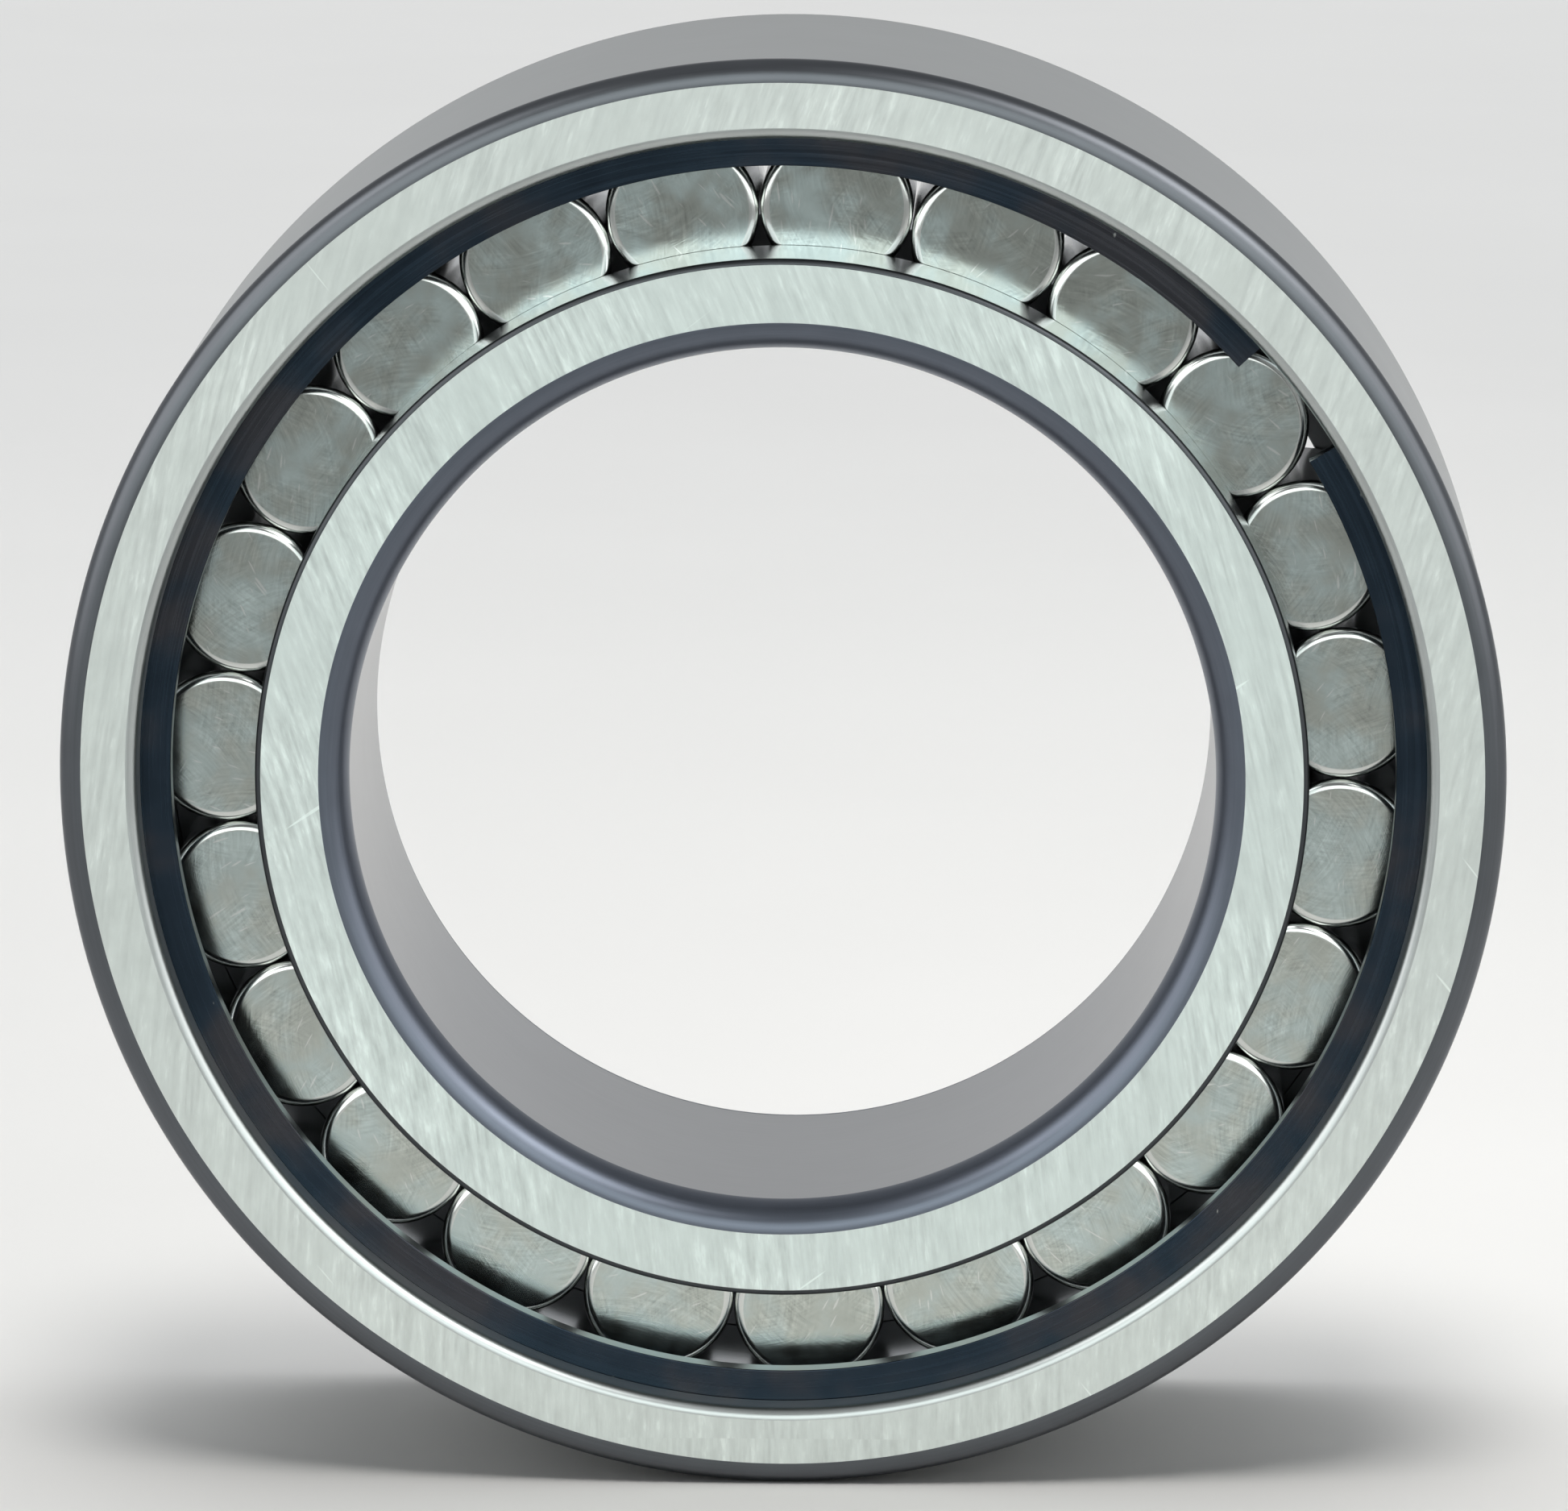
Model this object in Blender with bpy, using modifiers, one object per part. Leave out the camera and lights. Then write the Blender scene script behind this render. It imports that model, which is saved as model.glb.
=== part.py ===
"""Full-complement cylindrical roller bearing: two rings, a split retaining ring and 23 rollers.

Run with: blender --background --python part.py
Metres. The bearing's axis is the world Y axis and the origin is the bearing's centre. The front,
where the retaining ring is fitted, faces -Y.
"""

import math

import bmesh
import bpy
from mathutils import Matrix

# Boundary dimensions.
BORE_RADIUS = 0.0225
OUTSIDE_RADIUS = 0.0375
WIDTH = 0.023

# Rolling elements. The pitch circle is the one that the roller axes lie on.
ROLLER_COUNT = 23
ROLLER_RADIUS = 0.004
ROLLER_LENGTH = 0.012
ROLLER_CORNER = 0.0005
PITCH_RADIUS = 0.029425
FIRST_ROLLER_ANGLE = math.radians(6.46)

# Clearances. Each roller and each raceway gives up half of the radial running gap.
RADIAL_GAP = 0.00004
AXIAL_GAP = 0.00008
GROOVE_SIDE_GAP = 0.00005

# Outer ring.
OUTER_FACE_OUTER_RADIUS = 0.03635
OUTER_CORNER_DEPTH = 0.0009
OUTER_FRONT_MOUTH = 0.0002
OUTER_RIB_RADIUS = 0.0316
OUTER_RIB_CORNER = 0.0003

# Inner ring.
INNER_RIB_RADIUS = 0.0273
INNER_RIB_CORNER = 0.0003
INNER_FACE_BORE_RADIUS = 0.024
BORE_CORNER_DEPTH = 0.0018

# Split retaining ring and its groove in the outer ring.
RETAINER_FRONT_DEPTH = 0.00205
RETAINER_THICKNESS = 0.0012
RETAINER_INNER_RADIUS = 0.03185
RETAINER_OUTER_RADIUS = 0.03435
GROOVE_RADIUS = 0.0346
SPLIT_ANGLE = math.radians(36.95)
SPLIT_HALF_ANGLE = math.radians(5.55)
SPLIT_CUTTER_OVERRUN = 0.0008

# Facets around each turned piece, and along each rounded corner.
RING_FACETS = 96
ROLLER_FACETS = 20
RING_CORNER_STEPS = 3
ROLLER_CORNER_STEPS = 2
MERGE_DISTANCE = 1e-6
SHARP_ANGLE = math.radians(50.0)

PARTS_COLLECTION = "cylindrical_roller_bearing"
CUTTERS_COLLECTION = "cutters"


def clear_scene():
    for obj in list(bpy.data.objects):
        bpy.data.objects.remove(obj, do_unlink=True)


def new_collection(name):
    collection = bpy.data.collections.new(name)
    bpy.context.scene.collection.children.link(collection)
    return collection


def metal(name, colour, roughness):
    """A plain metal material."""
    material = bpy.data.materials.new(name)
    material.use_nodes = True
    shader = material.node_tree.nodes["Principled BSDF"]
    shader.inputs["Base Color"].default_value = (*colour, 1.0)
    shader.inputs["Metallic"].default_value = 1.0
    shader.inputs["Roughness"].default_value = roughness
    return material


def outside_flats(radius, facets):
    """Corner radius of a polygon whose flats just clear a circle of this radius."""
    return radius / math.cos(math.pi / facets)


def rounded_corner(start, end, hub, steps):
    """Points of a quarter ellipse from start to end, both included, around its centre, hub."""
    points = []
    for step in range(steps + 1):
        turn = math.pi / 2 * step / steps
        along_start = math.cos(turn)
        along_end = math.sin(turn)
        points.append(
            tuple(
                hub[i] + (start[i] - hub[i]) * along_start + (end[i] - hub[i]) * along_end
                for i in range(2)
            )
        )
    return points


def mirrored(points):
    """The same points for the other end of the piece, in the opposite order."""
    return [(radius, -height) for radius, height in reversed(points)]


def turned_piece(name, profile, facets, material, collection, closed=True):
    """A profile of (radius, height) points turned about the object's own Z axis.

    The profile goes down the outer side, so that the faces point out.
    """
    count = len(profile)
    edges = [(i, i + 1) for i in range(count - 1)]
    if closed:
        edges.append((count - 1, 0))
    mesh = bpy.data.meshes.new(name)
    mesh.from_pydata([(radius, 0.0, height) for radius, height in profile], edges, [])
    mesh.materials.append(material)
    piece = bpy.data.objects.new(name, mesh)
    collection.objects.link(piece)
    screw = piece.modifiers.new("Turned", "SCREW")
    screw.axis = "Z"
    screw.angle = 2 * math.pi
    screw.steps = facets
    screw.render_steps = facets
    screw.use_merge_vertices = True
    screw.merge_threshold = MERGE_DISTANCE
    return piece


def shade_round(piece):
    """Applies the piece's modifiers and shades it smooth, with its real corners left sharp."""
    evaluated = piece.evaluated_get(bpy.context.evaluated_depsgraph_get())
    mesh = bpy.data.meshes.new_from_object(evaluated)
    outline = piece.data
    piece.modifiers.clear()
    piece.data = mesh
    bpy.data.meshes.remove(outline)
    mesh.name = piece.name
    mesh.shade_smooth()
    mesh.set_sharp_from_angle(angle=SHARP_ANGLE)


def around_axis(radius, angle, height=0.0):
    """A point in the bearing's own frame, at an angle seen from the front, anticlockwise from +X."""
    return (radius * math.cos(angle), -radius * math.sin(angle), height)


def bearing_axis(collection):
    """The empty whose Z axis is the bearing's axis, pointing to the back."""
    axis = bpy.data.objects.new("bearing_axis", None)
    axis.empty_display_size = BORE_RADIUS
    axis.rotation_euler = (-math.pi / 2, 0.0, 0.0)
    collection.objects.link(axis)
    return axis


def outside_corner_at_back(face_radius, side_radius, depth, steps):
    """The rounded corner between the back face and an outer side."""
    half = WIDTH / 2
    return rounded_corner(
        (face_radius, half), (side_radius, half - depth), (face_radius, half - depth), steps
    )


def make_outer_ring(collection):
    material = metal("outer_ring_steel", (0.62, 0.63, 0.60), 0.34)
    half = WIDTH / 2
    mouth = outside_flats(PITCH_RADIUS + ROLLER_RADIUS + RADIAL_GAP / 2, RING_FACETS)
    groove = outside_flats(GROOVE_RADIUS, RING_FACETS)
    rib = outside_flats(OUTER_RIB_RADIUS, RING_FACETS)
    groove_front = -half + RETAINER_FRONT_DEPTH - GROOVE_SIDE_GAP
    groove_back = -half + RETAINER_FRONT_DEPTH + RETAINER_THICKNESS + GROOVE_SIDE_GAP
    rib_face = ROLLER_LENGTH / 2 + AXIAL_GAP
    corner = outside_corner_at_back(
        OUTER_FACE_OUTER_RADIUS, OUTSIDE_RADIUS, OUTER_CORNER_DEPTH, RING_CORNER_STEPS
    )
    profile = corner + mirrored(corner) + [
        (mouth + OUTER_FRONT_MOUTH, -half),
        (mouth, -half + OUTER_FRONT_MOUTH),
        (mouth, groove_front),
        (groove, groove_front),
        (groove, groove_back),
        (mouth, groove_back),
        (mouth, rib_face),
        (rib, rib_face),
        (rib, half - OUTER_RIB_CORNER),
        (rib + OUTER_RIB_CORNER, half),
    ]
    ring = turned_piece("outer_ring", profile, RING_FACETS, material, collection)
    shade_round(ring)
    return ring


def make_inner_ring(collection):
    material = metal("inner_ring_steel", (0.66, 0.69, 0.66), 0.32)
    half = WIDTH / 2
    raceway = PITCH_RADIUS - ROLLER_RADIUS - RADIAL_GAP / 2
    bore = outside_flats(BORE_RADIUS, RING_FACETS)
    face_bore = outside_flats(INNER_FACE_BORE_RADIUS, RING_FACETS)
    rib_face = ROLLER_LENGTH / 2 + AXIAL_GAP
    rib = [
        (INNER_RIB_RADIUS - INNER_RIB_CORNER, half),
        (INNER_RIB_RADIUS, half - INNER_RIB_CORNER),
        (INNER_RIB_RADIUS, rib_face),
        (raceway, rib_face),
    ]
    bore_corner = rounded_corner(
        (bore, half - BORE_CORNER_DEPTH),
        (face_bore, half),
        (face_bore, half - BORE_CORNER_DEPTH),
        RING_CORNER_STEPS,
    )
    profile = rib + mirrored(rib) + mirrored(bore_corner) + bore_corner
    ring = turned_piece("inner_ring", profile, RING_FACETS, material, collection)
    shade_round(ring)
    return ring


def make_split_cutter(collection, middle_height):
    """A four-sided taper that widens outwards, so the ends it leaves lie on radii."""
    near = RETAINER_INNER_RADIUS - SPLIT_CUTTER_OVERRUN
    far = RETAINER_OUTER_RADIUS + SPLIT_CUTTER_OVERRUN
    corner_share = math.tan(SPLIT_HALF_ANGLE) * math.sqrt(2)
    shape = bmesh.new()
    bmesh.ops.create_cone(
        shape,
        cap_ends=True,
        segments=4,
        radius1=near * corner_share,
        radius2=far * corner_share,
        depth=far - near,
        matrix=Matrix.Rotation(math.pi / 4, 4, "Z"),
    )
    mesh = bpy.data.meshes.new("retaining_ring_split")
    shape.to_mesh(mesh)
    shape.free()
    cutter = bpy.data.objects.new("retaining_ring_split", mesh)
    cutter.location = around_axis((near + far) / 2, SPLIT_ANGLE, middle_height)
    cutter.rotation_euler = (0.0, math.pi / 2, -SPLIT_ANGLE)
    cutter.hide_render = True
    cutter.display_type = "WIRE"
    collection.objects.link(cutter)
    return cutter


def make_retaining_ring(collection, cutters):
    material = metal("retaining_ring_steel", (0.07, 0.075, 0.08), 0.42)
    front = -WIDTH / 2 + RETAINER_FRONT_DEPTH
    back = front + RETAINER_THICKNESS
    inner = outside_flats(RETAINER_INNER_RADIUS, RING_FACETS)
    profile = [
        (RETAINER_OUTER_RADIUS, back),
        (RETAINER_OUTER_RADIUS, front),
        (inner, front),
        (inner, back),
    ]
    ring = turned_piece("retaining_ring", profile, RING_FACETS, material, collection)
    cutter = make_split_cutter(cutters, (front + back) / 2)
    split = ring.modifiers.new("Split", "BOOLEAN")
    split.operation = "DIFFERENCE"
    split.solver = "EXACT"
    split.object = cutter
    shade_round(ring)
    return ring, cutter


def make_rollers(collection):
    """All the rollers. They share one mesh, and each has its origin on its own axis."""
    material = metal("roller_steel", (0.50, 0.51, 0.49), 0.22)
    radius = ROLLER_RADIUS - RADIAL_GAP / 2
    half = ROLLER_LENGTH / 2
    face_radius = radius - ROLLER_CORNER
    corner = rounded_corner(
        (face_radius, half),
        (radius, half - ROLLER_CORNER),
        (face_radius, half - ROLLER_CORNER),
        ROLLER_CORNER_STEPS,
    )
    half_profile = [(0.0, half)] + corner
    profile = half_profile + mirrored(half_profile)
    rollers = []
    for index in range(ROLLER_COUNT):
        angle = FIRST_ROLLER_ANGLE + 2 * math.pi * index / ROLLER_COUNT
        name = f"roller_{index + 1:02d}"
        if index == 0:
            roller = turned_piece(name, profile, ROLLER_FACETS, material, collection, closed=False)
            shade_round(roller)
        else:
            roller = rollers[0].copy()
            roller.name = name
            collection.objects.link(roller)
        roller.location = around_axis(PITCH_RADIUS, angle)
        rollers.append(roller)
    return rollers


def main():
    clear_scene()
    parts = new_collection(PARTS_COLLECTION)
    cutters = new_collection(CUTTERS_COLLECTION)
    axis = bearing_axis(parts)
    outer_ring = make_outer_ring(parts)
    inner_ring = make_inner_ring(parts)
    retaining_ring, split_cutter = make_retaining_ring(parts, cutters)
    for piece in [outer_ring, inner_ring, retaining_ring, split_cutter, *make_rollers(parts)]:
        piece.parent = axis
    bpy.context.view_layer.update()


main()
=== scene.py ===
import math

import bpy
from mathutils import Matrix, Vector


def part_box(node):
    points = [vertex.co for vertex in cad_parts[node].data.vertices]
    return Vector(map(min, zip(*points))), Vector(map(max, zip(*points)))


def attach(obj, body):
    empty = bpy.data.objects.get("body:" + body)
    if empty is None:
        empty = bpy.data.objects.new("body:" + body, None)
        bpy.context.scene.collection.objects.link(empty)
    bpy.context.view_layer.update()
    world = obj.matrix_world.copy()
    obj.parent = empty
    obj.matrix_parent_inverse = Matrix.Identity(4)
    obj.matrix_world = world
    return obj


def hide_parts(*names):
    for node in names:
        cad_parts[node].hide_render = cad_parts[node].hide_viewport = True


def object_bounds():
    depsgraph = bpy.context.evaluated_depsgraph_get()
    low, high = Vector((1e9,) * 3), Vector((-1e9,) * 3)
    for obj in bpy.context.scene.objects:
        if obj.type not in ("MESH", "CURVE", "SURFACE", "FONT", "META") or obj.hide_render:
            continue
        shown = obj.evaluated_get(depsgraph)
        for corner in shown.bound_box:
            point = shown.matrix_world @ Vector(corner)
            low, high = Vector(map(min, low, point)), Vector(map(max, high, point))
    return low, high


# The looks of a full-complement cylindrical roller bearing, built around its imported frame.
# Metres, with the bearing's axis along Y and its front facing -Y. The patterns in the
# materials count in millimetres.

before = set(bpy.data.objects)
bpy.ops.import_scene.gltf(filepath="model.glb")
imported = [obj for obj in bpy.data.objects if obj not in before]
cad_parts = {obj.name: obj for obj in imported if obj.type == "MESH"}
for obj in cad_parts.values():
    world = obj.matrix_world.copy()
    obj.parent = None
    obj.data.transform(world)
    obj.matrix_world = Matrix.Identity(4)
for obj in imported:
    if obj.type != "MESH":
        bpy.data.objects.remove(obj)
cad_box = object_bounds()

MM = 0.001

# A length under this counts as none.
TINY = 1e-9

# Details of the sections that the pieces' boxes don't give. Radii are from the bearing's axis.
OUTER_FACE_RADIUS = 36.35 * MM
OUTER_CORNER_DEPTH = 0.90 * MM
MOUTH_RADIUS = 33.445 * MM
MOUTH_CORNER = 0.58 * MM
GROOVE_RADIUS = 34.60 * MM
GROOVE_SIDE_GAP = 0.05 * MM
OUTER_RIB_RADIUS = 31.60 * MM
BORE_RADIUS = 22.50 * MM
INNER_FACE_RADIUS = 24.00 * MM
BORE_CORNER_DEPTH = 1.80 * MM
INNER_RACEWAY_RADIUS = 25.405 * MM
RIB_CORNER = 0.30 * MM
RIB_GAP = 0.08 * MM
RETAINER_INNER_RADIUS = 31.85 * MM
SPLIT_ANGLE = math.radians(36.95)
SPLIT_HALF_ANGLE = math.radians(5.55)
ROLLER_CORNER = 0.50 * MM
SMALL_EDGE = 0.06 * MM

# How finely the pieces are made. A corner wider than LARGE_CORNER takes the larger count of steps.
# SUPPORT is how far a straight stretch's support points lie from its ends.
RING_SEGMENTS = 288
ROLLER_SEGMENTS = 72
LARGE_CORNER_STEPS = 14
SMALL_CORNER_STEPS = 5
LARGE_CORNER = 0.4 * MM
SUPPORT = 0.04 * MM
SHARP_ANGLE = math.radians(60.0)

# Each roller is turned further than the one before it, and its wear is another part of the pattern.
ROLLER_TURN_STEP = 2.4
WEAR_SEED_STEP = 1.7

# The camera looks almost at the middle of the front face.
CAMERA_AZIMUTH = math.radians(1.74)
CAMERA_ELEVATION = math.radians(10.7)
CAMERA_DISTANCE = 0.478
CAMERA_TARGET = Vector((0.15 * MM, cad_box[0].y, 1.45 * MM))
CAMERA_LENS = 212.3
CAMERA_SENSOR = 36.0

# The surroundings. The horizon is about as bright as the floor looks far away. FRONT_SHARE is how
# much of the sky's light is left in front of the object.
FLOOR_HALF_SIDE = 2.0
FLOOR_COLOUR = (0.80, 0.80, 0.79)
SKY_COLOUR = (0.96, 0.98, 1.0, 1.0)
HORIZON_LIGHT = 0.62
OVERHEAD_LIGHT = 0.40
FRONT_SHARE = 0.35


# Sections: outlines of (radius, y) points that are turned about the bearing's axis.


def box_middle(node):
    low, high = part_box(node)
    return (low + high) / 2


def box_half(node):
    low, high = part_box(node)
    return (high - low) / 2


class Section:
    """An outline of (radius, y) points. Each stretch names the surface that it makes."""

    def __init__(self, start):
        self.points = [start]
        self.surfaces = []

    def to(self, point, surface):
        if math.dist(point, self.points[-1]) > TINY:
            self.points.append(point)
            self.surfaces.append(surface)

    def straight(self, end, surface):
        """A straight stretch, with a support point close to each of its ends."""
        start = self.points[-1]
        length = math.dist(start, end)
        if length > 4 * SUPPORT:
            for share in (SUPPORT / length, 1 - SUPPORT / length):
                self.to(tuple(a + (b - a) * share for a, b in zip(start, end)), surface)
        self.to(end, surface)

    def rounded(self, corner, end, surface):
        """A quarter of an ellipse from where the outline is, bulging towards corner."""
        start = self.points[-1]
        hub = tuple(a + b - c for a, b, c in zip(start, end, corner))
        steps = LARGE_CORNER_STEPS if math.dist(start, end) > LARGE_CORNER else SMALL_CORNER_STEPS
        for step in range(1, steps + 1):
            turn = math.pi / 2 * step / steps
            point = tuple(
                h + (a - h) * math.cos(turn) + (b - h) * math.sin(turn)
                for a, b, h in zip(start, end, hub)
            )
            self.to(point, surface)


def toward(corner, other, radial, axial):
    """The point where a corner's rounding meets the straight stretch towards the other corner."""
    reach = axial if abs(corner[0] - other[0]) < TINY else radial
    share = reach / math.dist(corner, other)
    return tuple(a + (b - a) * share for a, b in zip(corner, other))


def section_of(corners, closed=True):
    """A section from square corners.

    A corner is (radius, y, radial and axial size of its rounding, the rounding's surface, the
    surface of the stretch that follows).
    """
    count = len(corners)
    places = [corner[:2] for corner in corners]
    ins = [toward(places[i], places[i - 1], *corners[i][2:4]) for i in range(count)]
    outs = [toward(places[i], places[(i + 1) % count], *corners[i][2:4]) for i in range(count)]
    section = Section(ins[0] if closed else places[0])
    for index, corner in enumerate(corners):
        last = index == count - 1
        if closed or 0 < index < count - 1:
            section.rounded(places[index], outs[index], corner[4])
        if closed and last:
            section.straight(ins[0], corner[5])
            section.points.pop()
        elif not last:
            ending = closed or index + 1 < count - 1
            section.straight(ins[index + 1] if ending else places[index + 1], corner[5])
    return section


def outer_ring_section():
    size = box_half("outer_ring")
    half = size.y
    retainer_low, retainer_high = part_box("retaining_ring")
    groove_front = retainer_low.y - GROOVE_SIDE_GAP
    groove_back = retainer_high.y + GROOVE_SIDE_GAP
    rib_face = box_half("roller_01").y + RIB_GAP
    outside_corner = (size.x - OUTER_FACE_RADIUS, OUTER_CORNER_DEPTH)
    edge = (SMALL_EDGE, SMALL_EDGE)
    mouth = (MOUTH_CORNER, MOUTH_CORNER)
    rib = (RIB_CORNER, RIB_CORNER)
    return section_of(
        [
            (size.x, half, *outside_corner, "turned", "outside"),
            (size.x, -half, *outside_corner, "turned", "face"),
            (MOUTH_RADIUS, -half, *mouth, "bevel", "mouth"),
            (MOUTH_RADIUS, groove_front, *edge, "bevel", "wall"),
            (GROOVE_RADIUS, groove_front, *edge, "wall", "wall"),
            (GROOVE_RADIUS, groove_back, *edge, "wall", "wall"),
            (MOUTH_RADIUS, groove_back, *edge, "bevel", "track"),
            (MOUTH_RADIUS, rib_face, *edge, "wall", "wall"),
            (OUTER_RIB_RADIUS, rib_face, *edge, "bevel", "wall"),
            (OUTER_RIB_RADIUS, half, *rib, "bevel", "face"),
        ]
    )


def inner_ring_section():
    size = box_half("inner_ring")
    half = size.y
    rib_face = box_half("roller_01").y + RIB_GAP
    bore_corner = (INNER_FACE_RADIUS - BORE_RADIUS, BORE_CORNER_DEPTH)
    edge = (SMALL_EDGE, SMALL_EDGE)
    rib = (RIB_CORNER, RIB_CORNER)
    return section_of(
        [
            (size.x, half, *rib, "rib_edge", "rib"),
            (size.x, rib_face, *edge, "bevel", "wall"),
            (INNER_RACEWAY_RADIUS, rib_face, *edge, "wall", "track"),
            (INNER_RACEWAY_RADIUS, -rib_face, *edge, "wall", "wall"),
            (size.x, -rib_face, *edge, "bevel", "rib"),
            (size.x, -half, *rib, "rib_edge", "face"),
            (BORE_RADIUS, -half, *bore_corner, "turned", "bore"),
            (BORE_RADIUS, half, *bore_corner, "turned", "face"),
        ]
    )


def retaining_ring_section():
    low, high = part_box("retaining_ring")
    edge = (SMALL_EDGE, SMALL_EDGE)
    return section_of(
        [
            (high.x, high.y, *edge, "plain", "plain"),
            (high.x, low.y, *edge, "plain", "plain"),
            (RETAINER_INNER_RADIUS, low.y, *edge, "plain", "edge"),
            (RETAINER_INNER_RADIUS, high.y, *edge, "plain", "plain"),
        ]
    )


def roller_section():
    size = box_half("roller_01")
    corner = (ROLLER_CORNER, ROLLER_CORNER)
    return section_of(
        [
            (0.0, size.y, 0.0, 0.0, "end", "end"),
            (size.x, size.y, *corner, "rim", "side"),
            (size.x, -size.y, *corner, "rim", "end"),
            (0.0, -size.y, 0.0, 0.0, "end", "end"),
        ],
        closed=False,
    )


# Meshes.


def turned_mesh(name, section, materials, segments, start=0.0, sweep=2 * math.pi):
    """The section turned about the Y axis. materials gives the material of each surface."""
    whole = math.isclose(sweep, 2 * math.pi)
    stations = segments if whole else segments + 1
    vertices = []
    rows = []
    for radius, y in section.points:
        if radius < TINY:
            rows.append([len(vertices)] * stations)
            vertices.append((0.0, y, 0.0))
            continue
        rows.append(list(range(len(vertices), len(vertices) + stations)))
        for station in range(stations):
            angle = start + sweep * station / segments
            vertices.append((radius * math.cos(angle), y, radius * math.sin(angle)))
    names = list(materials)
    faces = []
    slots = []
    for index, surface in enumerate(section.surfaces):
        near = rows[index]
        far = rows[(index + 1) % len(rows)]
        for station in range(segments):
            following = (station + 1) % stations
            corners = (near[station], near[following], far[following], far[station])
            faces.append(tuple(dict.fromkeys(corners)))
            slots.append(names.index(surface))
    if not whole:
        faces.append(tuple(row[0] for row in rows))
        faces.append(tuple(row[-1] for row in reversed(rows)))
        slots.extend([0, 0])
    mesh = bpy.data.meshes.new(name)
    mesh.from_pydata(vertices, [], faces)
    for surface in names:
        mesh.materials.append(materials[surface])
    mesh.polygons.foreach_set("material_index", slots)
    mesh.shade_smooth()
    mesh.set_sharp_from_angle(angle=SHARP_ANGLE)
    return mesh


def add_piece(name, mesh, node, body, location=(0.0, 0.0, 0.0), turn=0.0):
    """A finished piece that stands for a CAD node and moves with its body."""
    piece = bpy.data.objects.new(name, mesh)
    piece.location = location
    piece.rotation_euler = (0.0, turn, 0.0)
    bpy.context.scene.collection.objects.link(piece)
    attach(piece, body)
    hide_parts(node)
    return piece


# Materials.


class Graph:
    """The nodes of a material or a world, with a short method for each kind that is used here."""

    def __init__(self, name, world=False):
        self.material = (bpy.data.worlds if world else bpy.data.materials).new(name)
        self.material.use_nodes = True
        self.tree = self.material.node_tree
        self.shader = self.tree.nodes["Background" if world else "Principled BSDF"]

    def add(self, kind, **settings):
        node = self.tree.nodes.new("ShaderNode" + kind)
        for key, value in settings.items():
            setattr(node, key, value)
        return node

    def feed(self, socket, value):
        if isinstance(value, bpy.types.NodeSocket):
            self.tree.links.new(value, socket)
        else:
            socket.default_value = value

    def math(self, operation, first, second=0.0):
        node = self.add("Math", operation=operation)
        for socket, value in zip(node.inputs, (first, second)):
            self.feed(socket, value)
        return node.outputs[0]

    def vector(self, x, y, z):
        node = self.add("CombineXYZ")
        for socket, value in zip(node.inputs, (x, y, z)):
            self.feed(socket, value)
        return node.outputs[0]

    def place(self):
        """The x, y and z of a point on the piece, in millimetres."""
        coordinates = self.add("TexCoord").outputs["Object"]
        scaled = self.add("VectorMath", operation="SCALE")
        self.feed(scaled.inputs[0], coordinates)
        scaled.inputs["Scale"].default_value = 1 / MM
        split = self.add("SeparateXYZ")
        self.feed(split.inputs[0], scaled.outputs[0])
        return split.outputs

    def turned(self, x, z, degrees):
        """x and z in axes that are turned by some degrees about Y."""
        c = math.cos(math.radians(degrees))
        s = math.sin(math.radians(degrees))
        along = self.math("ADD", self.math("MULTIPLY", x, c), self.math("MULTIPLY", z, s))
        across = self.math("SUBTRACT", self.math("MULTIPLY", z, c), self.math("MULTIPLY", x, s))
        return along, across

    def noise(self, at, scale, detail=2.0, roughness=0.5, seed=0.0):
        node = self.add("TexNoise", noise_dimensions="4D")
        self.feed(node.inputs["Vector"], at)
        self.feed(node.inputs["W"], seed)
        node.inputs["Scale"].default_value = scale
        node.inputs["Detail"].default_value = detail
        node.inputs["Roughness"].default_value = roughness
        return node.outputs[0]

    def span(self, value, low, high, to_low=0.0, to_high=1.0):
        """The value taken smoothly from low..high to to_low..to_high, and held at the ends."""
        node = self.add("MapRange", interpolation_type="SMOOTHSTEP")
        for socket, number in zip(node.inputs, (value, low, high, to_low, to_high)):
            self.feed(socket, number)
        return node.outputs[0]

    def varied(self, shade, pattern, amount):
        """A shade plus a noise pattern, which averages a half, times an amount."""
        change = self.math("MULTIPLY", self.math("SUBTRACT", pattern, 0.5), amount)
        return self.math("ADD", shade, change)

    def blend(self, share, first, second):
        """Two colours mixed. Either may be a tuple."""
        node = self.add("Mix", data_type="RGBA")
        self.feed(node.inputs[0], share)
        for socket, value in ((node.inputs[6], first), (node.inputs[7], second)):
            self.feed(socket, (*value, 1.0) if isinstance(value, tuple) else value)
        return node.outputs[2]

    def tinted(self, colour, brightness):
        """A colour times a brightness that varies over the surface."""
        node = self.add("VectorMath", operation="SCALE")
        self.feed(node.inputs[0], colour)
        self.feed(node.inputs["Scale"], brightness)
        return node.outputs[0]

    def surface(self, colour, roughness, bump=None, depth=0.0, metallic=1.0):
        """Sets the shader's colour, roughness and bump. The bump's depth is in metres."""
        self.feed(self.shader.inputs["Base Color"], colour)
        self.shader.inputs["Metallic"].default_value = metallic
        self.feed(self.shader.inputs["Roughness"], roughness)
        if bump is not None:
            node = self.add("Bump")
            node.inputs["Strength"].default_value = 1.0
            node.inputs["Distance"].default_value = depth
            self.feed(node.inputs["Height"], bump)
            self.feed(self.shader.inputs["Normal"], node.outputs[0])
        return self.material


def radius_of(g, x, z):
    return g.math("SQRT", g.math("ADD", g.math("MULTIPLY", x, x), g.math("MULTIPLY", z, z)))


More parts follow.
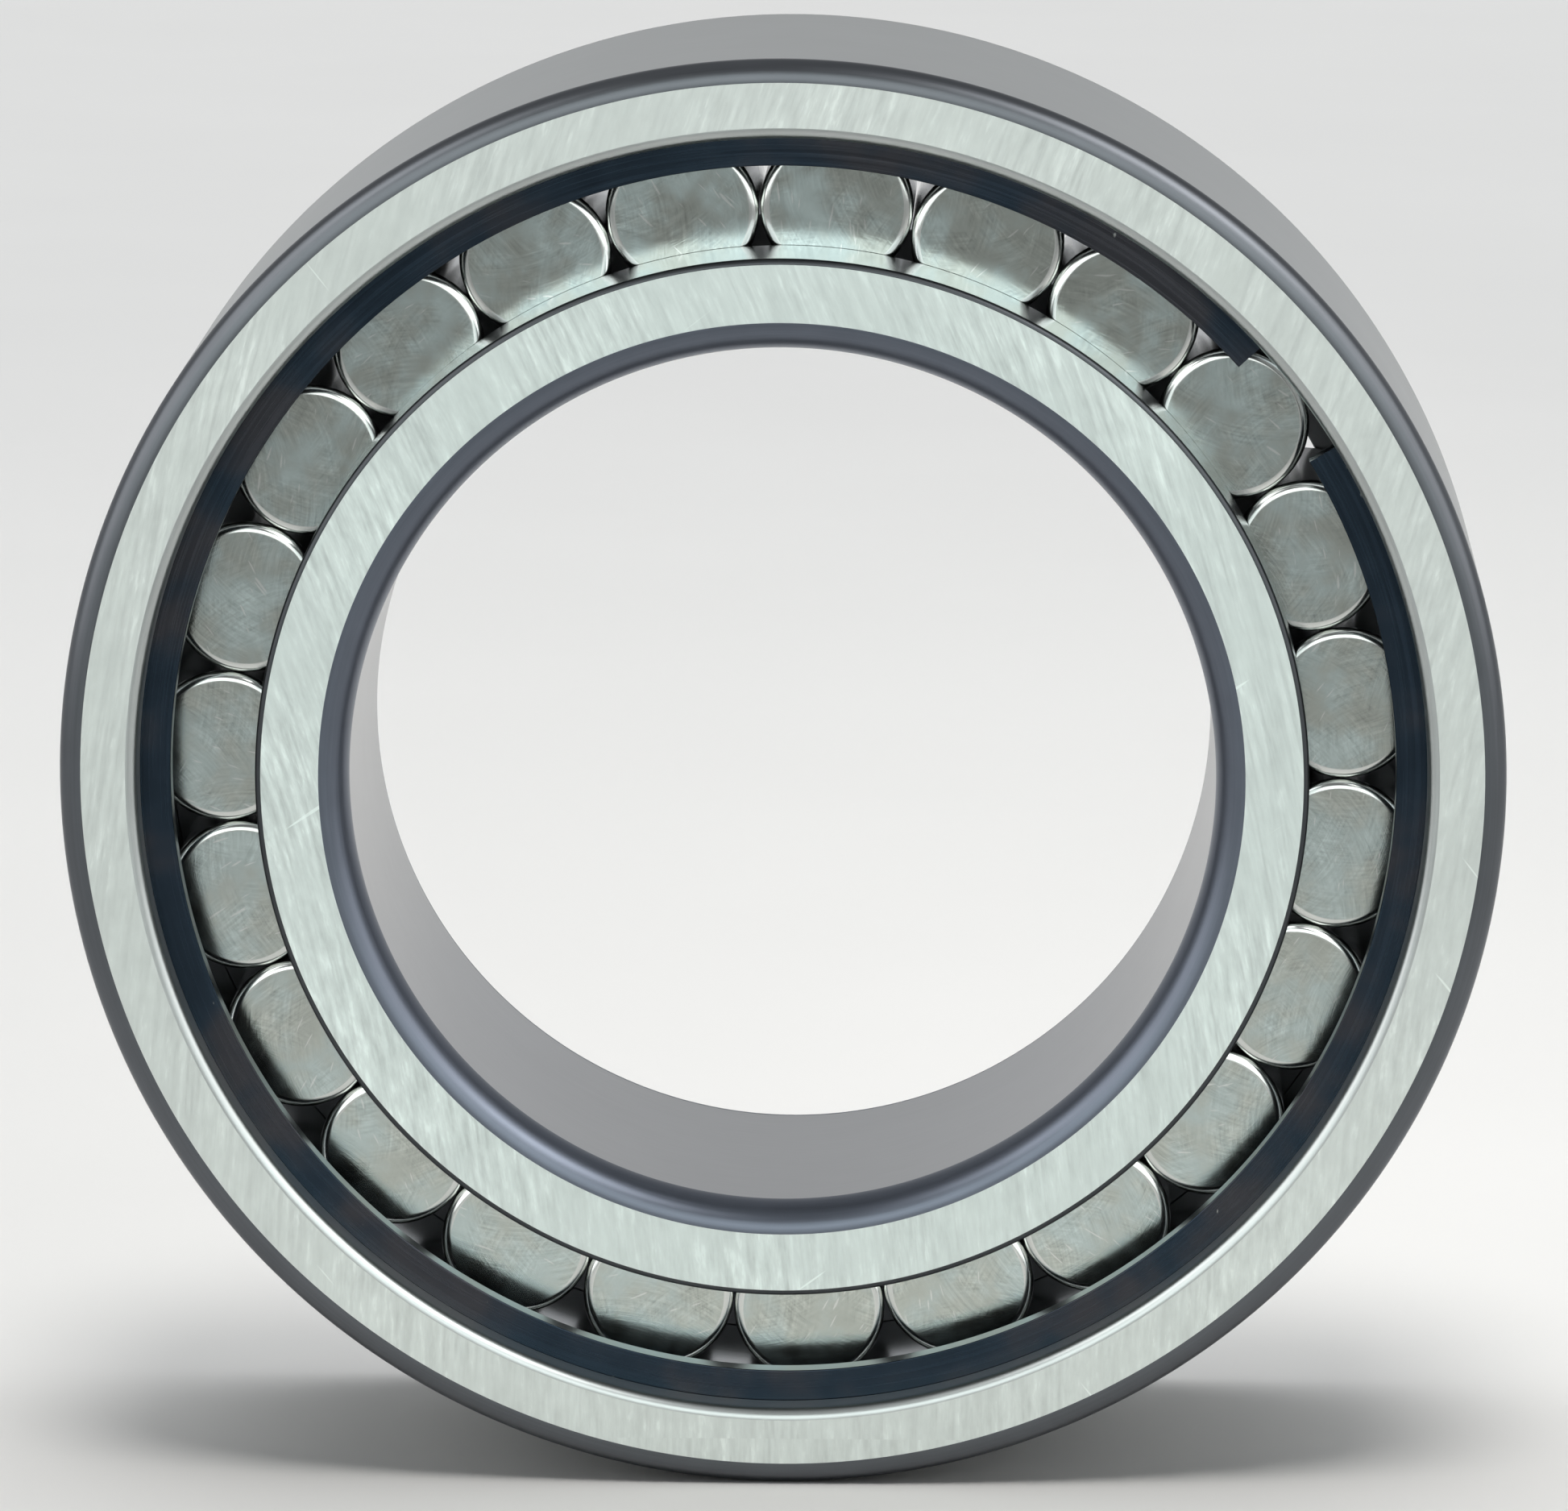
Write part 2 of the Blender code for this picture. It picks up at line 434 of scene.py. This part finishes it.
def around_axis(g, x, z, radius, down, stretch):
    """Where to look up a pattern that runs around the axis. down goes across its lines."""
    turn_x = g.math("MULTIPLY", g.math("DIVIDE", x, radius), stretch)
    turn_z = g.math("MULTIPLY", g.math("DIVIDE", z, radius), stretch)
    return g.vector(turn_x, down, turn_z)


def ground_face(name, tint, wheel, contrast, scratch_lean):
    """A side face, ground flat: short strokes and long fine lines that curve around a far point.

    wheel is that point's (x, z) in mm. scratch_lean is the slant of the face's few deep scratches.
    """
    g = Graph(name)
    x, y, z = g.place()
    from_wheel_x = g.math("SUBTRACT", x, wheel[0])
    from_wheel_z = g.math("SUBTRACT", z, wheel[1])
    across = radius_of(g, from_wheel_x, from_wheel_z)
    reach = math.hypot(*wheel)
    along = g.math("MULTIPLY", g.math("ARCTAN2", from_wheel_z, from_wheel_x), reach)
    strokes_at = g.vector(across, g.math("MULTIPLY", along, 0.22), y)
    strokes = g.noise(strokes_at, scale=2.4, detail=3.0, roughness=0.62)
    lines_at = g.vector(across, g.math("MULTIPLY", along, 0.04), y)
    lines = g.noise(lines_at, scale=4.5, detail=3.0, roughness=0.7, seed=3.0)
    cloud = g.noise(g.vector(x, y, z), scale=0.12, detail=3.0, roughness=0.6, seed=7.0)
    patch = g.noise(g.vector(x, y, z), scale=0.6, detail=3.0, roughness=0.6, seed=9.0)
    strong = g.span(cloud, 0.36, 0.62, 0.35, 1.15)
    shade = g.math("MULTIPLY", g.math("SUBTRACT", strokes, 0.5), contrast)
    shade = g.varied(shade, lines, contrast * 0.8)
    shade = g.math("ADD", g.math("MULTIPLY", shade, strong), 1.0)
    shade = g.varied(shade, patch, 0.14)
    shade = g.varied(shade, cloud, 0.12)
    u, v = g.turned(x, z, scratch_lean)
    scratch_at = g.vector(g.math("MULTIPLY", u, 0.06), y, v)
    scratch = g.noise(scratch_at, scale=2.1, detail=0.0, seed=31.0)
    scratched = g.span(scratch, 0.795, 0.815)
    glint = g.math("MULTIPLY", g.span(strokes, 0.58, 0.70), g.math("MULTIPLY", strong, 0.45))
    light = tuple(min(1.0, c * 1.3) for c in tint)
    colour = g.blend(glint, g.tinted(tint, shade), light)
    colour = g.blend(g.math("MULTIPLY", scratched, 0.8), colour, light)
    roughness = g.span(lines, 0.3, 0.7, 0.43, 0.54)
    height = g.math("ADD", g.math("MULTIPLY", strokes, 0.5), lines)
    return g.surface(colour, roughness, height, 0.003 * MM)


def ground_round(name, tint, roughness, contrast=0.10):
    """A round surface, ground around the axis: short fine lines that run around it."""
    g = Graph(name)
    x, y, z = g.place()
    radius = radius_of(g, x, z)
    lines_at = around_axis(g, x, z, radius, down=g.math("MULTIPLY", y, 9.0), stretch=5.0)
    lines = g.noise(lines_at, scale=1.0, detail=4.0, roughness=0.6)
    cloud = g.noise(g.vector(x, y, z), scale=0.16, detail=3.0, roughness=0.55, seed=2.0)
    shade = g.varied(1.0, lines, contrast)
    shade = g.varied(shade, cloud, 0.10)
    rough = g.varied(roughness, lines, 0.10)
    return g.surface(g.tinted(tint, shade), rough, lines, 0.0012 * MM)


def turned_corner(name, tint, roughness, lean, depth):
    """A corner turned on a lathe: fine rings around it.

    lean is +1 in a bore and -1 on an outside. depth is the rings' depth in mm.
    """
    g = Graph(name)
    x, y, z = g.place()
    radius = radius_of(g, x, z)
    down = g.math("ADD", radius, g.math("MULTIPLY", g.math("ABSOLUTE", y), lean))
    rings_at = around_axis(g, x, z, radius, down=g.math("MULTIPLY", down, 7.0), stretch=3.0)
    rings = g.noise(rings_at, scale=1.0, detail=3.0, roughness=0.6)
    cloud = g.noise(g.vector(x, y, z), scale=0.3, detail=3.0, roughness=0.55, seed=4.0)
    shade = g.varied(1.0, rings, 0.30)
    shade = g.varied(shade, cloud, 0.20)
    rough = g.varied(roughness, rings, 0.16)
    return g.surface(g.tinted(tint, shade), rough, rings, depth * MM)


def lapped_end(name, tint):
    """A roller's end: brushed swirls, soft clouds and fine bright scratches, different on each."""
    g = Graph(name)
    x, y, z = g.place()
    own = g.add("Attribute", attribute_type="OBJECT", attribute_name="wear_seed").outputs["Fac"]
    side = g.math("MULTIPLY", y, 0.7)
    at_point = g.vector(x, side, z)
    swirls = None
    for index, (angle, stretch) in enumerate(((25.0, 9.0), (-40.0, 7.0), (80.0, 11.0))):
        u, v = g.turned(x, z, angle)
        bend = g.math("MULTIPLY", g.math("MULTIPLY", u, u), 0.06)
        layer_at = g.vector(g.math("MULTIPLY", u, 1 / stretch), g.math("ADD", v, bend), side)
        layer_seed = g.math("ADD", own, index * 3.1)
        layer = g.noise(layer_at, scale=7.5, detail=2.0, roughness=0.65, seed=layer_seed)
        where = g.noise(at_point, scale=0.45, detail=1.0, seed=g.math("ADD", own, 20.0 + index))
        strength = g.span(where, 0.4, 0.6, 0.15, 1.0)
        layer = g.math("MULTIPLY", g.math("SUBTRACT", layer, 0.5), strength)
        swirls = layer if swirls is None else g.math("ADD", swirls, layer)
    cloud = g.noise(at_point, scale=0.34, detail=3.0, roughness=0.6, seed=own)
    scratches = None
    for index, angle in enumerate((62.0, 50.0)):
        u, v = g.turned(x, z, angle)
        found_at = g.vector(g.math("MULTIPLY", u, 0.11), side, v)
        found_seed = g.math("ADD", own, 50.0 + 7.0 * index)
        found = g.span(g.noise(found_at, scale=7.5, detail=0.0, seed=found_seed), 0.77, 0.82)
        scratches = found if scratches is None else g.math("MAXIMUM", scratches, found)
    shade = g.math("ADD", 1.0, g.math("MULTIPLY", swirls, 0.75))
    shade = g.varied(shade, cloud, 0.60)
    warm = tuple(c * k for c, k in zip(tint, (1.03, 0.99, 0.95)))
    cool = tuple(c * k for c, k in zip(tint, (0.97, 1.01, 1.03)))
    hue = g.blend(g.span(cloud, 0.38, 0.62), warm, cool)
    bare = (0.86, 0.87, 0.84)
    colour = g.blend(g.math("MULTIPLY", scratches, 0.6), g.tinted(hue, shade), bare)
    rough = g.span(cloud, 0.3, 0.7, 0.13, 0.21)
    return g.surface(colour, rough, swirls, 0.0035 * MM)


def spring_steel(name, tint):
    """The retaining ring: dark blued spring steel with faint drawn lines and a few bright nicks."""
    g = Graph(name)
    x, y, z = g.place()
    radius = radius_of(g, x, z)
    down = g.math("MULTIPLY", g.math("ADD", radius, y), 6.0)
    lines_at = around_axis(g, x, z, radius, down=down, stretch=2.5)
    lines = g.noise(lines_at, scale=1.0, detail=3.0, roughness=0.6)
    cloud = g.noise(g.vector(x, y, z), scale=0.12, detail=3.0, roughness=0.6, seed=5.0)
    nicks_at = g.vector(x, g.math("MULTIPLY", y, 0.4), g.math("MULTIPLY", z, 0.45))
    nicks = g.noise(nicks_at, scale=1.3, detail=2.0, roughness=0.55, seed=11.0)
    nicks = g.span(nicks, 0.725, 0.76)
    shade = g.varied(g.span(cloud, 0.3, 0.7, 0.75, 1.3), lines, 0.4)
    brown = tuple(c * k for c, k in zip(tint, (1.55, 1.05, 0.85)))
    tone = g.blend(g.span(cloud, 0.42, 0.60), tint, brown)
    bare = (0.5, 0.52, 0.5)
    colour = g.blend(g.math("MULTIPLY", nicks, 0.7), g.tinted(tone, shade), bare)
    rough = g.span(lines, 0.3, 0.7, 0.20, 0.31)
    return g.surface(colour, rough, lines, 0.002 * MM)


def make_materials():
    """The materials of each piece, by the surfaces that its section names."""
    wall = ground_round("dark_wall_steel", (0.13, 0.13, 0.135), 0.36, 0.25)
    track = ground_round("raceway_steel", (0.50, 0.52, 0.53), 0.16)
    bevel = turned_corner("bright_edge_steel", (0.50, 0.53, 0.52), 0.33, 1.0, 0.001)
    outer = {
        "face": ground_face("outer_face_steel", (0.63, 0.67, 0.64), (193.0, -35.0), 0.44, -52.0),
        "outside": ground_round("outside_steel", (0.49, 0.50, 0.495), 0.36, 0.30),
        "turned": turned_corner("outer_corner_steel", (0.13, 0.138, 0.15), 0.33, -1.0, 0.0012),
        "bevel": bevel,
        "mouth": ground_round("mouth_steel", (0.46, 0.48, 0.47), 0.42, 0.2),
        "wall": wall,
        "track": track,
    }
    inner = {
        "face": ground_face("inner_face_steel", (0.65, 0.715, 0.685), (-150.0, -40.0), 0.60, 35.0),
        "bore": ground_round("bore_steel", (0.49, 0.49, 0.495), 0.34, 0.30),
        "turned": turned_corner("bore_corner_steel", (0.14, 0.157, 0.19), 0.36, 1.0, 0.0008),
        # Painted shade: the rib's rounded edges are tinted nearly black, standing in for the shade along
        # the rib beside the rollers' ends.
        "rib_edge": turned_corner("rib_edge_painted_shade_steel", (0.07, 0.075, 0.08), 0.36, -1.0, 0.001),
        "rib": ground_round("rib_steel", (0.40, 0.43, 0.44), 0.20),
        "bevel": bevel,
        "wall": wall,
        "track": track,
    }
    roller = {
        "end": lapped_end("roller_end_steel", (0.55, 0.61, 0.58)),
        "rim": turned_corner("roller_rim_steel", (0.74, 0.76, 0.73), 0.18, -1.0, 0.0006),
        "side": ground_round("roller_side_steel", (0.55, 0.56, 0.56), 0.14),
    }
    retainer = {
        "plain": spring_steel("retainer_spring_steel", (0.031, 0.047, 0.066)),
        "edge": ground_round("retainer_edge_steel", (0.15, 0.18, 0.185), 0.30),
    }
    return outer, inner, roller, retainer


# Pieces.


def make_rings(outer, inner, retainer):
    mesh = turned_mesh("outer_ring_finished", outer_ring_section(), outer, RING_SEGMENTS)
    add_piece("outer_ring_finished", mesh, "outer_ring", "outer_ring")
    mesh = turned_mesh("inner_ring_finished", inner_ring_section(), inner, RING_SEGMENTS)
    add_piece("inner_ring_finished", mesh, "inner_ring", "inner_ring")
    mesh = turned_mesh(
        "retaining_ring_finished",
        retaining_ring_section(),
        retainer,
        RING_SEGMENTS,
        start=SPLIT_ANGLE + SPLIT_HALF_ANGLE,
        sweep=2 * (math.pi - SPLIT_HALF_ANGLE),
    )
    add_piece(
        "retaining_ring_finished", mesh, "retaining_ring", "outer_ring"
    )


def make_rollers(materials):
    nodes = sorted(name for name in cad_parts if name.startswith("roller_"))
    mesh = turned_mesh("roller_finished", roller_section(), materials, ROLLER_SEGMENTS)
    for index, node in enumerate(nodes):
        turn = ROLLER_TURN_STEP * index
        place = box_middle(node)
        piece = add_piece(f"{node}_finished", mesh, node, node, place, turn)
        piece["wear_seed"] = WEAR_SEED_STEP * index


# Surroundings.


def make_floor():
    g = Graph("pale_floor")
    x, y, z = g.place()
    grain = g.noise(g.vector(x, y, z), scale=0.02, detail=3.0)
    colour = g.tinted(FLOOR_COLOUR, g.span(grain, 0.3, 0.7, 0.985, 1.0))
    g.surface(colour, g.span(grain, 0.3, 0.7, 0.55, 0.6), metallic=0.0)
    g.shader.inputs["Specular IOR Level"].default_value = 0.0
    side = FLOOR_HALF_SIDE
    mesh = bpy.data.meshes.new("floor")
    corners = [(-side, -side, 0.0), (side, -side, 0.0), (side, side, 0.0), (-side, side, 0.0)]
    mesh.from_pydata(corners, [], [(0, 1, 2, 3)])
    mesh.materials.append(g.material)
    floor = bpy.data.objects.new("floor", mesh)
    floor.location.z = cad_box[0].z
    bpy.context.scene.collection.objects.link(floor)


def add_lamp(name, light, position, aim):
    lamp = bpy.data.objects.new(name, light)
    lamp.location = position
    lamp.rotation_euler = (Vector(aim) - Vector(position)).to_track_quat("-Z", "Y").to_euler()
    lamp.visible_camera = False
    bpy.context.scene.collection.objects.link(lamp)
    return lamp


def add_panel(name, position, width, height, power, aim=(0.0, 0.0, 0.0), colour=(1.0, 1.0, 1.0)):
    light = bpy.data.lights.new(name, "AREA")
    light.shape = "RECTANGLE"
    light.size = width
    light.size_y = height
    light.energy = power
    light.color = colour
    return add_lamp(name, light, position, aim)


def add_softboxes():
    """The panels that the steel reflects. They leave the floor unlit."""
    softboxes = (
        add_panel("left_softbox", (-0.82, -0.45, 0.42), width=0.70, height=0.90, power=3.2),
        add_panel("right_softbox", (0.82, -0.45, 0.42), width=0.70, height=0.90, power=3.2),
        add_panel(
            "front_softbox", (0.0, -1.1, 0.36), width=2.0, height=0.7, power=8.0, colour=(0.94, 1.0, 0.99)
        ),
        add_panel("upper_right_softbox", (0.50, -0.50, 0.74), width=0.50, height=0.50, power=2.8),
        add_panel("upper_left_softbox", (-0.54, -0.45, 0.72), width=0.40, height=0.40, power=0.7),
    )
    for softbox in softboxes:
        softbox.visible_diffuse = False


def add_floor_lamp():
    """A wide panel over and behind the object, for the floor alone."""
    position = (0.0, 1.75, 1.0)
    below = (position[0], position[1], 0.0)
    lamp = add_panel("floor_lamp", position, width=6.0, height=3.6, power=40.0, aim=below)
    lamp.data.spread = math.radians(60.0)
    lamp.visible_glossy = False


def add_near_lamp():
    """A soft warm spot on the floor around the object, for the floor alone."""
    light = bpy.data.lights.new("near_lamp", "SPOT")
    light.spot_size = math.radians(28.0)
    light.spot_blend = 0.45
    light.shadow_soft_size = 0.18
    light.color = (1.0, 0.975, 0.94)
    light.energy = 15.0
    lamp = add_lamp("near_lamp", light, (0.05, -0.20, 0.80), aim=(0.04, 0.03, 0.0))
    lamp.visible_glossy = False


def make_world():
    """Palest at the horizon behind the object, darker overhead and darkest in front."""
    g = Graph("studio", world=True)
    bpy.context.scene.world = g.material
    split = g.add("SeparateXYZ")
    g.feed(split.inputs[0], g.add("TexCoord").outputs["Generated"])
    rising = g.span(split.outputs["Z"], 0.10, 0.75, HORIZON_LIGHT, OVERHEAD_LIGHT)
    behind = g.span(split.outputs["Y"], -0.7, 0.15, FRONT_SHARE, 1.0)
    g.feed(g.shader.inputs["Strength"], g.math("MULTIPLY", rising, behind))
    g.shader.inputs["Color"].default_value = SKY_COLOUR


def make_camera():
    camera = bpy.data.objects.new("camera", bpy.data.cameras.new("camera"))
    camera.data.lens = CAMERA_LENS
    camera.data.sensor_width = CAMERA_SENSOR
    away = Vector(
        (
            math.sin(CAMERA_AZIMUTH) * math.cos(CAMERA_ELEVATION),
            -math.cos(CAMERA_AZIMUTH) * math.cos(CAMERA_ELEVATION),
            math.sin(CAMERA_ELEVATION),
        )
    )
    camera.location = CAMERA_TARGET + away * CAMERA_DISTANCE
    camera.rotation_euler = (-away).to_track_quat("-Z", "Y").to_euler()
    bpy.context.scene.collection.objects.link(camera)
    bpy.context.scene.camera = camera


def main():
    bpy.context.scene.view_settings.view_transform = "Standard"
    outer, inner, roller, retainer = make_materials()
    make_rings(outer, inner, retainer)
    make_rollers(roller)
    make_floor()
    make_world()
    add_softboxes()
    add_floor_lamp()
    add_near_lamp()
    make_camera()


main()
